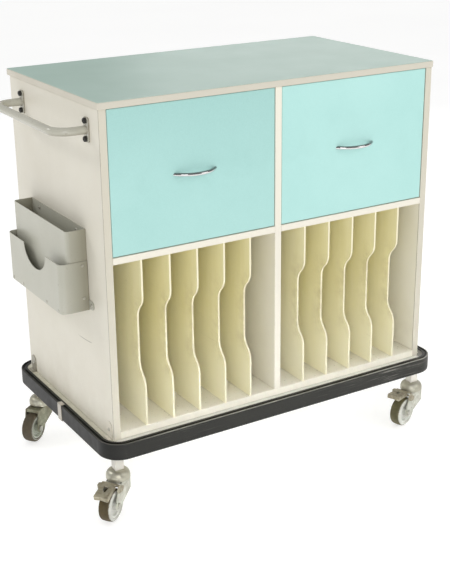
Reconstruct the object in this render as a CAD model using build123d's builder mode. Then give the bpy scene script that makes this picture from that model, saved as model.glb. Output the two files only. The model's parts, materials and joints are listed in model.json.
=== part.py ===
from build123d import *
import os
from math import acos, asin, atan2, cos, radians, sin, sqrt

os.makedirs("parts", exist_ok=True)

# Medical records trolley, millimetres, +Z up, front towards -Y, push handle at
# the -X end.  Measures below are taken from the top's left edge (x), the top's
# front edge (y) and the floor (z); X() and Y() carry them to the origin, which
# is on the floor at the middle of the whole trolley's box.
X0 = 444.35
Y0 = 247.091


def X(v):
    return v - X0


def Y(v):
    return v - Y0


# ---- top
TOP_W, TOP_D, TOP_Z = 930.0, 520.0, 1000.0
TOP_T, LAM_T = 15.0, 1.0
UNDER_TOP = TOP_Z - TOP_T - LAM_T

# ---- carcass boards
BOARD, SHELF_T, BACK_T = 18.0, 16.0, 6.0
SIDE_L, SIDE_R = 3.5, 926.5            # outer faces of the side panels
FRONT, BACK = 3.0, 506.0               # front edges, back face
CARC_Z = 196.0                         # the carcass stands here on the tray
BASE_TOP = CARC_Z + BOARD
SHELF_Z = 631.0                        # underside of the shelves
UPRIGHT_L, UPRIGHT_R = 456.0, 474.0
BAY_BACK = BACK - BACK_T
BAYS = {"left": (SIDE_L + BOARD, UPRIGHT_L), "right": (UPRIGHT_R, SIDE_R - BOARD)}
EDGE_R = 1.2

# ---- file dividers
DIV_N, DIV_T, DIV_GROOVE, DIV_STOP = 5, 4.5, 4.0, 10.0
DIV_FRONT, DIV_RECESS = 4.0, 32.0      # nose and thumb recess, y
DIV_S1 = (543.0, 480.0)                # upper S-curve, z from and to
DIV_S2 = (372.0, 312.0)                # lower S-curve, z from and to
DIV_BACK = 498.0

# ---- drawers
DF_T, DF_GAP, DF_FRONT = 16.0, 1.5, 4.5
DF_Z0, DF_Z1 = 649.0, 982.5
DR_GAP = 12.7                          # runner space each side
DR_T, DR_Z0, DR_Z1, DR_BACK = 12.0, 665.0, 925.0, 470.0
DR_BOT_Z, DR_BOT_T, DR_BOT_IN = 677.0, 6.0, 6.0
RUN_Z, RUN_Y0, RUN_Y1 = 725.0, 24.0, 474.0
PULL_Z, PULL_R, PULL_HALF, PULL_OUT = 815.7, 4.0, 52.0, 23.0
PULL_SCREW = 48.5

# ---- push handle
PH_Y = (64.0, 433.0)
PH_Z, PH_R, PH_WALL, PH_BEND = 931.0, 9.5, 1.5, 42.0
PH_BAR_X = -69.8
PLATE_W, PLATE_H, PLATE_T, WELD = 24.0, 55.0, 3.0, 2.4
BOLT_DZ = 20.4

# ---- wall pocket
PK_T = 1.5
PK_Y0, PK_Y1 = 102.0, 414.0
PK_Z0, PK_IN_TOP, PK_OUT_TOP = 497.0, 694.0, 618.0
PK_IN_X, PK_OUT_X = -46.5, -67.0
NOTCH_Y, NOTCH_W, NOTCH_D = 247.0, 130.0, 49.0
LUG_Y, LUG_Z = (87.0, 429.0), 511.0
PK_SCREWS = ((150.0, 680.0), (366.0, 680.0))

# ---- base
TRAY_W, TRAY_D, TRAY_R, TRAY_T, TRAY_Z0 = 964.0, 543.5, 40.0, 2.0, 158.0
BASE_X, BASE_Y = 470.0, 258.25
BUMP_T, BUMP_Z0, BUMP_Z1 = 16.0, 155.6, 198.5
CLIP_Y, CLIP_W, CLIP_T = 250.0, 21.0, 1.2
BRK_Y, BRK_W, BRK_T, BRK_TOP, BRK_FOOT = (25.0, 483.0), 26.0, 2.0, 239.0, 11.0
BRK_SCREW_Z = 218.0
TUBE, TUBE_WALL, LEG_Z0, RAIL_Z0, DECK_UNDER = 22.0, 2.0, 112.0, 172.0, 194.0

# ---- casters: swivel axis and trail direction (degrees from +X)
CASTERS = {
    "front_left": (14.0, 14.0, 216.0),
    "back_left": (14.0, 488.0, 216.0),
    "front_right": (919.0, 14.0, 197.5),
    "back_right": (919.0, 488.0, 215.0),
}
# braked casters and how far each pedal stands up from its lowered setting (degrees):
# the left one is down, the right one is up
BRAKED = {"front_left": 0.0, "front_right": 16.0}
WHEEL_R, TYRE_IN, WHEEL_W, TRAIL = 40.0, 30.0, 30.0, 42.0
AXLE_R, RUN_FIT = 4.0, 0.05
FORK_IN, FORK_T, CROWN_Z0, CROWN_Z1 = 18.0, 2.5, 88.0, 91.5
CROWN_FRONT, CROWN_BRAKED, FORK_BACK, FORK_EYE = 44.0, 20.0, -23.0, 12.0
STEM_R = 6.0
# pedal: its plate stands PEDAL_H over the pivot, square to its own tilt
PEDAL_H, PEDAL_TILT, PEDAL_T = 13.3, 12.0, 2.5
PEDAL_RIM, PEDAL_RIM_T, CHEEK_IN, CHEEK_T = 8.0, 1.8, 21.3, 1.9
PIVOT_X, PIVOT_Z, PIVOT_R = 27.0, 83.5, 2.5


def block(x0, x1, y0, y1, z0, z1, mode=Mode.ADD):
    """Rectangular piece of board or plate between two corners."""
    with Locations((X((x0 + x1) / 2), Y((y0 + y1) / 2), (z0 + z1) / 2)):
        Box(abs(x1 - x0), abs(y1 - y0), abs(z1 - z0), mode=mode)


def keep(piece, name):
    """Name a finished piece and write it."""
    piece.part.label = name
    export_step(piece.part, "parts/" + name + ".step")


# =====================================================================
# Fasteners, each made once along its own axis with the head on top
# =====================================================================
with BuildPart() as screw_form:
    Cylinder(1.75, 14, align=(Align.CENTER, Align.CENTER, Align.MAX))
    Cylinder(4, 2.4, align=(Align.CENTER, Align.CENTER, Align.MIN))
    fillet(screw_form.faces().sort_by(Axis.Z)[-1].edges(), 1.5)
    with Locations((0, 0, 2.4)):
        Box(4.2, 0.9, 2.4, mode=Mode.SUBTRACT)
        Box(0.9, 4.2, 2.4, mode=Mode.SUBTRACT)

with BuildPart() as bolt_form:
    Cylinder(3.0, 27, align=(Align.CENTER, Align.CENTER, Align.MAX))
    with Locations((0, 0, -(PLATE_T + BOARD))):
        with BuildSketch(Plane.XY.offset(-(PLATE_T + BOARD))):
            RegularPolygon(5.8, 6)
        extrude(amount=-5)
    Cylinder(6.5, 6.8, align=(Align.CENTER, Align.CENTER, Align.MIN))
    fillet(bolt_form.faces().sort_by(Axis.Z)[-1].edges(), 3.0)
    with BuildSketch(Plane.XY.offset(6.8)):
        RegularPolygon(2.4, 6)
    extrude(amount=-3, mode=Mode.SUBTRACT)

with BuildPart() as pull_screw_form:
    Cylinder(2.0, DF_T + 5, align=(Align.CENTER, Align.CENTER, Align.MAX))
    Cylinder(4.0, 2.5, align=(Align.CENTER, Align.CENTER, Align.MIN))
    fillet(pull_screw_form.faces().sort_by(Axis.Z)[-1].edges(), 1.2)
    with Locations((0, 0, 2.5)):
        Box(4.4, 0.9, 2.2, mode=Mode.SUBTRACT)
        Box(0.9, 4.4, 2.2, mode=Mode.SUBTRACT)


def rivet(grip):
    """Blind rivet through plates of the given total thickness."""
    with BuildPart() as form:
        Cylinder(1.6, grip, align=(Align.CENTER, Align.CENTER, Align.MAX))
        Cylinder(3.4, 1.5, align=(Align.CENTER, Align.CENTER, Align.MIN))
        fillet(form.faces().sort_by(Axis.Z)[-1].edges(), 1.1)
        with Locations((0, 0, -grip)):
            Cylinder(2.4, 1.2, align=(Align.CENTER, Align.CENTER, Align.MAX))
    return form.part


rivet_single = rivet(PK_T)
rivet_double = rivet(2 * PK_T)

# =====================================================================
# Top: board with rounded edges, laminate skin on it
# =====================================================================
with BuildPart() as top_board:
    with BuildSketch(Plane((X(TOP_W / 2), Y(TOP_D / 2), UNDER_TOP))):
        RectangleRounded(TOP_W, TOP_D, 5)
    extrude(amount=TOP_T)
    fillet(top_board.faces().sort_by(Axis.Z)[0].edges(), 1.5)
    fillet(top_board.faces().sort_by(Axis.Z)[-1].edges(), 0.8)
keep(top_board, "top_board")

with BuildPart() as top_laminate:
    with BuildSketch(Plane((X(TOP_W / 2), Y(TOP_D / 2), TOP_Z - LAM_T))):
        RectangleRounded(TOP_W - 2.6, TOP_D - 2.6, 4)
    extrude(amount=LAM_T)
    fillet(top_laminate.faces().sort_by(Axis.Z)[-1].edges(), 0.5)
keep(top_laminate, "top_laminate")

# =====================================================================
# Carcass boards
# =====================================================================
with BuildPart() as left_side_panel:
    block(SIDE_L, SIDE_L + BOARD, FRONT, BACK, CARC_Z, UNDER_TOP)
    fillet(left_side_panel.edges().filter_by(Axis.Z).group_by(Axis.Y)[0], EDGE_R)
    with Locations(*[(X(SIDE_L + BOARD / 2), Y(y), PH_Z + d)
                     for y in PH_Y for d in (-BOLT_DZ, BOLT_DZ)]):
        Cylinder(3.1, BOARD + 4, rotation=(0, 90, 0), mode=Mode.SUBTRACT)
    with Locations(*[(X(SIDE_L + 7), Y(y), z) for y, z in
                     [(y, BRK_SCREW_Z) for y in BRK_Y]
                     + [(y, LUG_Z) for y in LUG_Y] + list(PK_SCREWS)]):
        Cylinder(1.85, 14, rotation=(0, 90, 0), mode=Mode.SUBTRACT)
keep(left_side_panel, "left_side_panel")

with BuildPart() as right_side_panel:
    block(SIDE_R - BOARD, SIDE_R, FRONT, BACK, CARC_Z, UNDER_TOP)
    fillet(right_side_panel.edges().filter_by(Axis.Z).group_by(Axis.Y)[0], EDGE_R)
    with Locations(*[(X(SIDE_R - 7), Y(y), BRK_SCREW_Z) for y in BRK_Y]):
        Cylinder(1.85, 14, rotation=(0, 90, 0), mode=Mode.SUBTRACT)
keep(right_side_panel, "right_side_panel")

with BuildPart() as centre_upright:
    block(UPRIGHT_L, UPRIGHT_R, FRONT, BAY_BACK, BASE_TOP, UNDER_TOP)
    fillet(centre_upright.edges().filter_by(Axis.Z).group_by(Axis.Y)[0], EDGE_R)
keep(centre_upright, "centre_upright")

with BuildPart() as back_panel:
    block(SIDE_L + BOARD, SIDE_R - BOARD, BAY_BACK, BACK, CARC_Z, UNDER_TOP)
keep(back_panel, "back_panel")


def divider_x(side):
    """Left faces of the five dividers of one bay."""
    left, right = BAYS[side]
    slot = (right - left - DIV_N * DIV_T) / (DIV_N + 1)
    return [left + slot * (i + 1) + DIV_T * i for i in range(DIV_N)]


with BuildPart() as base_board:
    block(SIDE_L + BOARD, SIDE_R - BOARD, FRONT, BAY_BACK, CARC_Z, BASE_TOP)
    fillet(base_board.edges().filter_by(Axis.X).group_by(Axis.Y)[0], EDGE_R)
    for side in BAYS:
        for x in divider_x(side):
            block(x - 0.1, x + DIV_T + 0.1, FRONT + DIV_STOP, BAY_BACK,
                  BASE_TOP - DIV_GROOVE, BASE_TOP, Mode.SUBTRACT)
keep(base_board, "base_board")

for side, (left, right) in BAYS.items():
    with BuildPart() as shelf:
        block(left, right, FRONT, BAY_BACK, SHELF_Z, SHELF_Z + SHELF_T)
        fillet(shelf.edges().filter_by(Axis.X).group_by(Axis.Y)[0], EDGE_R)
        for x in divider_x(side):
            block(x - 0.1, x + DIV_T + 0.1, FRONT + DIV_STOP, BAY_BACK,
                  SHELF_Z, SHELF_Z + DIV_GROOVE, Mode.SUBTRACT)
    keep(shelf, side + "_shelf")


# =====================================================================
# File dividers: thin boards with a waisted front edge, let into stopped
# grooves in the base board and the shelves
# =====================================================================
def s_arcs(y0, z0, y1, z1):
    """Middle points of two equal arcs that join two upright lines."""
    dy, dz = abs(y1 - y0), abs(z1 - z0)
    r = (dy * dy + dz * dz) / (4 * dy)
    half = asin((dz / 2) / r) / 2
    sy = 1 if y1 > y0 else -1
    first = (y0 + sy * r * (1 - cos(half)), z0 - r * sin(half))
    middle = ((y0 + y1) / 2, (z0 + z1) / 2)
    last = (y1 - sy * r * (1 - cos(half)), z1 + r * sin(half))
    return first, middle, last


for side in BAYS:
    a1, m1, b1 = s_arcs(DIV_FRONT, DIV_S1[0], DIV_RECESS, DIV_S1[1])
    a2, m2, b2 = s_arcs(DIV_RECESS, DIV_S2[0], DIV_FRONT, DIV_S2[1])
    stop = FRONT + DIV_STOP + 0.2

    def at(y, z):
        return (Y(y), z)

    with BuildPart() as dividers:
        for x in divider_x(side):
            with BuildSketch(Plane.YZ.offset(X(x))):
                with BuildLine():
                    Polyline(at(DIV_FRONT, DIV_S2[1]), at(DIV_FRONT, BASE_TOP),
                             at(stop, BASE_TOP), at(stop, BASE_TOP - DIV_GROOVE + 0.1),
                             at(DIV_BACK, BASE_TOP - DIV_GROOVE + 0.1),
                             at(DIV_BACK, SHELF_Z + DIV_GROOVE - 0.1),
                             at(stop, SHELF_Z + DIV_GROOVE - 0.1), at(stop, SHELF_Z),
                             at(DIV_FRONT, SHELF_Z), at(DIV_FRONT, DIV_S1[0]))
                    ThreePointArc(at(DIV_FRONT, DIV_S1[0]), at(*a1), at(*m1))
                    ThreePointArc(at(*m1), at(*b1), at(DIV_RECESS, DIV_S1[1]))
                    Line(at(DIV_RECESS, DIV_S1[1]), at(DIV_RECESS, DIV_S2[0]))
                    ThreePointArc(at(DIV_RECESS, DIV_S2[0]), at(*a2), at(*m2))
                    ThreePointArc(at(*m2), at(*b2), at(DIV_FRONT, DIV_S2[1]))
                make_face()
            extrude(amount=DIV_T)
    keep(dividers, side + "_dividers")


# =====================================================================
# Drawers and their telescopic runners
# =====================================================================
def channel(wall, way, web, tip, half, thick):
    """Rail of one runner: a web and two flanges, from the bay wall inwards."""
    block(wall + way * web[0], wall + way * web[1], RUN_Y0, RUN_Y1,
          RUN_Z - half, RUN_Z + half)
    for zc in (RUN_Z + half - thick / 2, RUN_Z - half + thick / 2):
        block(wall + way * min(web[0], tip), wall + way * max(web[1], tip),
              RUN_Y0, RUN_Y1, zc - thick / 2, zc + thick / 2)


for side, (left, right) in BAYS.items():
    middle = (left + right) / 2

    with BuildPart() as outer_rails:
        channel(left, 1, (0.0, 1.2), 10.0, 22.5, 1.2)
        channel(right, -1, (0.0, 1.2), 10.0, 22.5, 1.2)
    keep(outer_rails, side + "_outer_rails")

    with BuildPart() as middle_rails:
        channel(left, 1, (2.0, 3.2), 10.8, 20.9, 1.2)
        channel(right, -1, (2.0, 3.2), 10.8, 20.9, 1.2)
    keep(middle_rails, side + "_middle_rails")

    with BuildPart() as inner_rails:
        channel(left, 1, (11.5, 12.7), 4.2, 19.3, 1.2)
        channel(right, -1, (11.5, 12.7), 4.2, 19.3, 1.2)
    keep(inner_rails, side + "_inner_rails")

    with BuildPart() as drawer_front:
        block(left + DF_GAP, right - DF_GAP, DF_FRONT, DF_FRONT + DF_T, DF_Z0, DF_Z1)
        fillet(drawer_front.faces().sort_by(Axis.Y)[0].edges(), 1.0)
        with Locations((X(middle - PULL_SCREW), Y(DF_FRONT + DF_T / 2), PULL_Z),
                       (X(middle + PULL_SCREW), Y(DF_FRONT + DF_T / 2), PULL_Z)):
            Cylinder(2.2, DF_T + 4, rotation=(90, 0, 0), mode=Mode.SUBTRACT)
    keep(drawer_front, side + "_drawer_front")

    with BuildPart() as drawer_sides:
        for wall, way in ((left, 1), (right, -1)):
            block(wall + way * DR_GAP, wall + way * (DR_GAP + DR_T),
                  DF_FRONT + DF_T, DR_BACK, DR_Z0, DR_Z1)
            block(wall + way * (DR_GAP + DR_T - DR_BOT_IN), wall + way * (DR_GAP + DR_T),
                  DF_FRONT + DF_T, DR_BACK, DR_BOT_Z, DR_BOT_Z + DR_BOT_T, Mode.SUBTRACT)
    keep(drawer_sides, side + "_drawer_sides")

    with BuildPart() as drawer_back:
        block(left + DR_GAP + DR_T, right - DR_GAP - DR_T, DR_BACK - DR_T, DR_BACK,
              DR_BOT_Z + DR_BOT_T, DR_Z1)
    keep(drawer_back, side + "_drawer_back")

    with BuildPart() as drawer_bottom:
        block(left + DR_GAP + DR_T - DR_BOT_IN, right - DR_GAP - DR_T + DR_BOT_IN,
              DF_FRONT + DF_T, DR_BACK, DR_BOT_Z, DR_BOT_Z + DR_BOT_T)
    keep(drawer_bottom, side + "_drawer_bottom")

    # bow handle: round rod bent to an arc, its two feet cut flat on the front
    bow_r = (PULL_HALF ** 2 + PULL_OUT ** 2) / (2 * PULL_OUT)
    bow_end = sqrt(bow_r ** 2 - (bow_r - PULL_OUT - 7) ** 2)
    with BuildPart() as drawer_handle:
        with BuildLine(Plane.XY.offset(PULL_Z)) as bow:
            ThreePointArc((X(middle - bow_end), Y(DF_FRONT + 7)),
                          (X(middle), Y(DF_FRONT - PULL_OUT)),
                          (X(middle + bow_end), Y(DF_FRONT + 7)))
        with BuildSketch(Plane(origin=bow.line @ 0, z_dir=bow.line % 0)):
            Circle(PULL_R)
        sweep()
        block(middle - 90, middle + 90, DF_FRONT, DF_FRONT + 30, PULL_Z - 20, PULL_Z + 20,
              Mode.SUBTRACT)
        with Locations((X(middle - PULL_SCREW), Y(DF_FRONT), PULL_Z),
                       (X(middle + PULL_SCREW), Y(DF_FRONT), PULL_Z)):
            Cylinder(2.05, 11, rotation=(90, 0, 0), mode=Mode.SUBTRACT)
    keep(drawer_handle, side + "_drawer_handle")

    with BuildPart() as handle_screws:
        with Locations(Location((X(middle - PULL_SCREW), Y(DF_FRONT + DF_T), PULL_Z), (-90, 0, 0)),
                       Location((X(middle + PULL_SCREW), Y(DF_FRONT + DF_T), PULL_Z), (-90, 0, 0))):
            add(pull_screw_form.part)
    keep(handle_screws, side + "_handle_screws")

# =====================================================================
# Push handle: bent tube on two plates, bolted through the left panel
# =====================================================================
with BuildPart() as push_handle:
    with BuildLine(Plane.XY.offset(PH_Z)) as bar:
        FilletPolyline((X(SIDE_L - PLATE_T), Y(PH_Y[0])), (X(PH_BAR_X), Y(PH_Y[0])),
                       (X(PH_BAR_X), Y(PH_Y[1])), (X(SIDE_L - PLATE_T), Y(PH_Y[1])),
                       radius=PH_BEND)
    with BuildSketch(Plane(origin=bar.line @ 0, z_dir=bar.line % 0)):
        Circle(PH_R)
        Circle(PH_R - PH_WALL, mode=Mode.SUBTRACT)
    sweep()
    for y in PH_Y:
        with BuildSketch(Plane(origin=(X(SIDE_L), Y(y), PH_Z), x_dir=(0, -1, 0), z_dir=(-1, 0, 0))):
            RectangleRounded(PLATE_W, PLATE_H, 5)
            Circle(PH_R - PH_WALL, mode=Mode.SUBTRACT)
            with Locations((0, BOLT_DZ), (0, -BOLT_DZ)):
                Circle(3.1, mode=Mode.SUBTRACT)
        extrude(amount=PLATE_T)
    # weld round the tube where it meets each plate
    fillet(push_handle.edges().filter_by(GeomType.CIRCLE).filter_by(
        lambda e: abs(e.radius - PH_R) < 0.01 and abs(e.center().X - X(SIDE_L - PLATE_T)) < 0.1), WELD)
keep(push_handle, "push_handle")

with BuildPart() as push_handle_bolts:
    with Locations(*[Location((X(SIDE_L - PLATE_T), Y(y), PH_Z + d), (0, -90, 0))
                     for y in PH_Y for d in (-BOLT_DZ, BOLT_DZ)]):
        add(bolt_form.part)
keep(push_handle_bolts, "push_handle_bolts")

# =====================================================================
# Wall pocket: tall inner bin, low outer bin wrapped round its front
# =====================================================================
PK_YC = (PK_Y0 + PK_Y1) / 2
PK_RIVETS_FRONT = (120.0, 190.0, 334.0, 396.0)
PK_RIVETS_SIDE = ((-10.0, 528.0), (-10.0, 608.0))


def bin_outline(x0, x1, y0, y1, r):
    """Plan of a bin: square at the panel, round at the two front corners."""
    with BuildSketch(mode=Mode.PRIVATE) as plan:
        with BuildLine():
            Polyline((X(x1) + r, Y(y0)), (X(x0), Y(y0)), (X(x0), Y(y1)), (X(x1) + r, Y(y1)))
            RadiusArc((X(x1), Y(y1) - r), (X(x1) + r, Y(y1)), r)
            Line((X(x1), Y(y1) - r), (X(x1), Y(y0) + r))
            RadiusArc((X(x1) + r, Y(y0)), (X(x1), Y(y0) + r), r)
        make_face()
    return plan.sketch


inner_out = bin_outline(SIDE_L, PK_IN_X, PK_Y0, PK_Y1, 9.0)
inner_in = bin_outline(SIDE_L - PK_T, PK_IN_X + PK_T, PK_Y0 + PK_T, PK_Y1 - PK_T, 7.5)
outer_out = bin_outline(SIDE_L - 1.5, PK_OUT_X, PK_Y0 - PK_T, PK_Y1 + PK_T, 15.0)
outer_in = bin_outline(SIDE_L - 1.5, PK_OUT_X + PK_T, PK_Y0, PK_Y1, 13.5)

with BuildPart() as pocket_inner_bin:
    with BuildSketch(Plane.XY.offset(PK_Z0)):
        add(inner_out)
    extrude(amount=PK_IN_TOP - PK_Z0)
    with BuildSketch(Plane.XY.offset(PK_Z0 + PK_T)):
        add(inner_in)
    extrude(amount=PK_IN_TOP - PK_Z0, mode=Mode.SUBTRACT)
    # fixing lugs low on both sides, flat on the panel
    for y, way in ((LUG_Y[0], 1), (LUG_Y[1], -1)):
        edge = PK_Y0 - PK_T if way > 0 else PK_Y1 + PK_T
        with BuildSketch(Plane(origin=(X(SIDE_L), 0, 0), x_dir=(0, -1, 0), z_dir=(-1, 0, 0))):
            with Locations((-Y(y), LUG_Z)):
                Circle(11)
            with Locations((-Y((y + edge + 4 * way) / 2), LUG_Z)):
                Rectangle(abs(edge + 4 * way - y), 22)
        extrude(amount=PK_T)
    # screw and rivet holes
    with Locations(*[(X(SIDE_L), Y(y), z) for y, z in [(y, LUG_Z) for y in LUG_Y] + list(PK_SCREWS)]):
        Cylinder(1.95, 8, rotation=(0, 90, 0), mode=Mode.SUBTRACT)
    with Locations(*[(X(x), Y(y), z) for x, z in PK_RIVETS_SIDE for y in (PK_Y0, PK_Y1)]):
        Cylinder(1.65, 10, rotation=(90, 0, 0), mode=Mode.SUBTRACT)
keep(pocket_inner_bin, "pocket_inner_bin")

with BuildPart() as pocket_outer_bin:
    with BuildSketch(Plane.XY.offset(PK_Z0)):
        add(outer_out)
    extrude(amount=PK_OUT_TOP - PK_Z0)
    with BuildSketch(Plane.XY.offset(PK_Z0 + PK_T)):
        add(outer_in)
    extrude(amount=PK_OUT_TOP - PK_Z0, mode=Mode.SUBTRACT)
    # room for the inner bin in the floor, the floor in front of it stays
    with BuildSketch(Plane.XY.offset(PK_Z0)):
        with BuildLine():
            Polyline((X(SIDE_L), Y(PK_Y0)), (X(PK_IN_X), Y(PK_Y0)), (X(PK_IN_X), Y(PK_Y1)),
                     (X(SIDE_L), Y(PK_Y1)), close=True)
        make_face()
    extrude(amount=PK_T, mode=Mode.SUBTRACT)
    # thumb notch
    with BuildSketch(Plane(origin=(X(PK_OUT_X) - 5, 0, 0), x_dir=(0, 1, 0), z_dir=(1, 0, 0))):
        with Locations((Y(NOTCH_Y), PK_OUT_TOP)):
            Ellipse(NOTCH_W / 2, NOTCH_D)
    extrude(amount=12, mode=Mode.SUBTRACT)
    # rivet holes
    with Locations(*[(X(PK_OUT_X), Y(y), PK_Z0 + 6) for y in PK_RIVETS_FRONT]):
        Cylinder(1.65, 8, rotation=(0, 90, 0), mode=Mode.SUBTRACT)
    with Locations(*[(X(x), Y(y), z) for x, z in PK_RIVETS_SIDE
                     for y in (PK_Y0 - PK_T / 2, PK_Y1 + PK_T / 2)]):
        Cylinder(1.65, 8, rotation=(90, 0, 0), mode=Mode.SUBTRACT)
keep(pocket_outer_bin, "pocket_outer_bin")

with BuildPart() as pocket_rivets:
    with Locations(*[Location((X(PK_OUT_X), Y(y), PK_Z0 + 6), (0, -90, 0)) for y in PK_RIVETS_FRONT]):
        add(rivet_single)
    with Locations(*[Location((X(x), Y(PK_Y0 - PK_T), z), (90, 0, 0)) for x, z in PK_RIVETS_SIDE]):
        add(rivet_double)
    with Locations(*[Location((X(x), Y(PK_Y1 + PK_T), z), (-90, 0, 0)) for x, z in PK_RIVETS_SIDE]):
        add(rivet_double)
keep(pocket_rivets, "pocket_rivets")

# =====================================================================
# Base: tray, bumper, joint clip, brackets, under-tray frame
# =====================================================================
BASE_PLANE = Plane((X(BASE_X), Y(BASE_Y), 0))

with BuildPart() as base_tray:
    with BuildSketch(BASE_PLANE.offset(TRAY_Z0)):
        RectangleRounded(TRAY_W, TRAY_D, TRAY_R)
    extrude(amount=CARC_Z - TRAY_Z0)
    with BuildSketch(BASE_PLANE.offset(TRAY_Z0)):
        RectangleRounded(TRAY_W - 2 * TRAY_T, TRAY_D - 2 * TRAY_T, TRAY_R - TRAY_T)
    extrude(amount=CARC_Z - TRAY_T - TRAY_Z0, mode=Mode.SUBTRACT)
keep(base_tray, "base_tray")

BUMP_W, BUMP_D, BUMP_R = TRAY_W + 2 * BUMP_T, TRAY_D + 2 * BUMP_T, TRAY_R + BUMP_T
with BuildPart() as bumper:
    with BuildSketch(BASE_PLANE.offset(BUMP_Z0)):
        RectangleRounded(BUMP_W, BUMP_D, BUMP_R)
    extrude(amount=BUMP_Z1 - BUMP_Z0)
    fillet(bumper.faces().sort_by(Axis.Z)[0].edges(), 5.0)
    fillet(bumper.faces().sort_by(Axis.Z)[-1].edges(), 1.6)
    with BuildSketch(BASE_PLANE.offset(BUMP_Z0)):
        RectangleRounded(TRAY_W, TRAY_D, TRAY_R)
    extrude(amount=BUMP_Z1 - BUMP_Z0, mode=Mode.SUBTRACT)
    # groove along the outer top edge, leaving a narrow bead outside it
    with BuildSketch(BASE_PLANE.offset(BUMP_Z1)):
        RectangleRounded(BUMP_W - 7, BUMP_D - 7, BUMP_R - 3.5)
        RectangleRounded(BUMP_W - 20, BUMP_D - 20, BUMP_R - 10, mode=Mode.SUBTRACT)
    extrude(amount=-4.5, mode=Mode.SUBTRACT)
keep(bumper, "bumper")

bump_l = BASE_X - BUMP_W / 2
with BuildPart() as bumper_joint_clip:
    with BuildSketch(Plane.XZ.offset(-Y(CLIP_Y + CLIP_W / 2))):
        with BuildLine():
            Polyline((X(bump_l + 11), BUMP_Z1), (X(bump_l), BUMP_Z1), (X(bump_l), BUMP_Z0),
                     (X(bump_l + 9), BUMP_Z0), (X(bump_l + 9), BUMP_Z0 - CLIP_T),
                     (X(bump_l - CLIP_T), BUMP_Z0 - CLIP_T), (X(bump_l - CLIP_T), BUMP_Z1 + CLIP_T),
                     (X(bump_l + 11), BUMP_Z1 + CLIP_T), close=True)
        make_face()
    extrude(amount=CLIP_W)
    long_edges = bumper_joint_clip.edges().filter_by(Axis.Y)
    fillet(long_edges.group_by(Axis.X)[0], 1.1)
    fillet(bumper_joint_clip.edges().filter_by(Axis.Y).group_by(Axis.Z)[-1].sort_by(Axis.X)[-1:], 1.0)
keep(bumper_joint_clip, "bumper_joint_clip")

with BuildPart() as corner_brackets:
    for face, way in ((SIDE_L, -1), (SIDE_R, 1)):
        for y in BRK_Y:
            with BuildSketch(Plane(origin=(X(face), Y(y), 0), x_dir=(0, way, 0), z_dir=(way, 0, 0))):
                with Locations((0, (CARC_Z + BRK_TOP - 6) / 2)):
                    Rectangle(BRK_W, BRK_TOP - 6 - CARC_Z)
                with Locations((0, BRK_TOP - 13)):
                    SlotOverall(BRK_W, BRK_W - 0.02, rotation=90)
                with Locations((0, BRK_SCREW_Z)):
                    Circle(1.95, mode=Mode.SUBTRACT)
            extrude(amount=BRK_T)
            block(face + way * BRK_T, face + way * BRK_FOOT, y - BRK_W / 2, y + BRK_W / 2,
                  CARC_Z, CARC_Z + BRK_T)
keep(corner_brackets, "corner_brackets")

with BuildPart() as panel_screws:
    with Locations(*[Location((X(SIDE_L - BRK_T), Y(y), BRK_SCREW_Z), (0, -90, 0)) for y in BRK_Y],
                   *[Location((X(SIDE_R + BRK_T), Y(y), BRK_SCREW_Z), (0, 90, 0)) for y in BRK_Y],
                   *[Location((X(SIDE_L - PK_T), Y(y), LUG_Z), (0, -90, 0)) for y in LUG_Y],
                   *[Location((X(SIDE_L - PK_T), Y(y), z), (0, -90, 0)) for y, z in PK_SCREWS]):
        add(screw_form.part)
keep(panel_screws, "panel_screws")

corner_axes = [(x, y) for x, y, a in CASTERS.values()]
LX0, LX1 = min(x for x, y in corner_axes), max(x for x, y in corner_axes)
LY0, LY1 = min(y for x, y in corner_axes), max(y for x, y in corner_axes)
with BuildPart() as base_frame:
    half, bore = TUBE / 2, TUBE / 2 - TUBE_WALL
    zc = (RAIL_Z0 + DECK_UNDER) / 2
    for x, y in corner_axes:
        block(x - half, x + half, y - half, y + half, LEG_Z0, DECK_UNDER)
        block(x - bore, x + bore, y - bore, y + bore, LEG_Z0, DECK_UNDER, Mode.SUBTRACT)
    for y in (LY0, LY1):
        block(LX0 + half + 0.05, LX1 - half - 0.05, y - half, y + half, RAIL_Z0, DECK_UNDER)
        block(LX0 + half + 0.05, LX1 - half - 0.05, y - bore, y + bore, zc - bore, zc + bore,
              Mode.SUBTRACT)
    for x in (LX0, LX1):
        block(x - half, x + half, LY0 + half + 0.05, LY1 - half - 0.05, RAIL_Z0, DECK_UNDER)
        block(x - bore, x + bore, LY0 + half + 0.05, LY1 - half - 0.05, zc - bore, zc + bore,
              Mode.SUBTRACT)
keep(base_frame, "base_frame")

# =====================================================================
# Casters: made once about the swivel axis with the trail along +X, then
# set at the four corners
# =====================================================================
with BuildPart() as stem_form:
    with Locations((0, 0, CROWN_Z0 - 4.4)):
        Cylinder(8.5, 4.0, align=(Align.CENTER, Align.CENTER, Align.MIN))
        Cylinder(STEM_R, LEG_Z0 - CROWN_Z0 + 6, align=(Align.CENTER, Align.CENTER, Align.MIN))
    with Locations((0, 0, LEG_Z0)):
        plug = TUBE - 2 * TUBE_WALL - 0.2
        Box(plug, plug, 38, align=(Align.CENTER, Align.CENTER, Align.MIN))

with BuildPart() as dome_form:
    with BuildSketch(Plane.XZ):
        with BuildLine():
            Polyline((13.0, 116.5), (STEM_R + 0.3, 116.5), (STEM_R + 0.3, 97.0), (24.0, 97.0),
                     (25.5, 93.0), (28.6, 93.0), (29.5, 93.9), (29.5, 100.5))
            ThreePointArc((29.5, 100.5), (25.6, 110.6), (13.0, 116.5))
        make_face()
    revolve(axis=Axis.Z)
    with Locations((0, 0, LEG_Z0)):
        Box(TUBE + 0.2, TUBE + 0.2, 12, align=(Align.CENTER, Align.CENTER, Align.MIN),
            mode=Mode.SUBTRACT)

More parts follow.
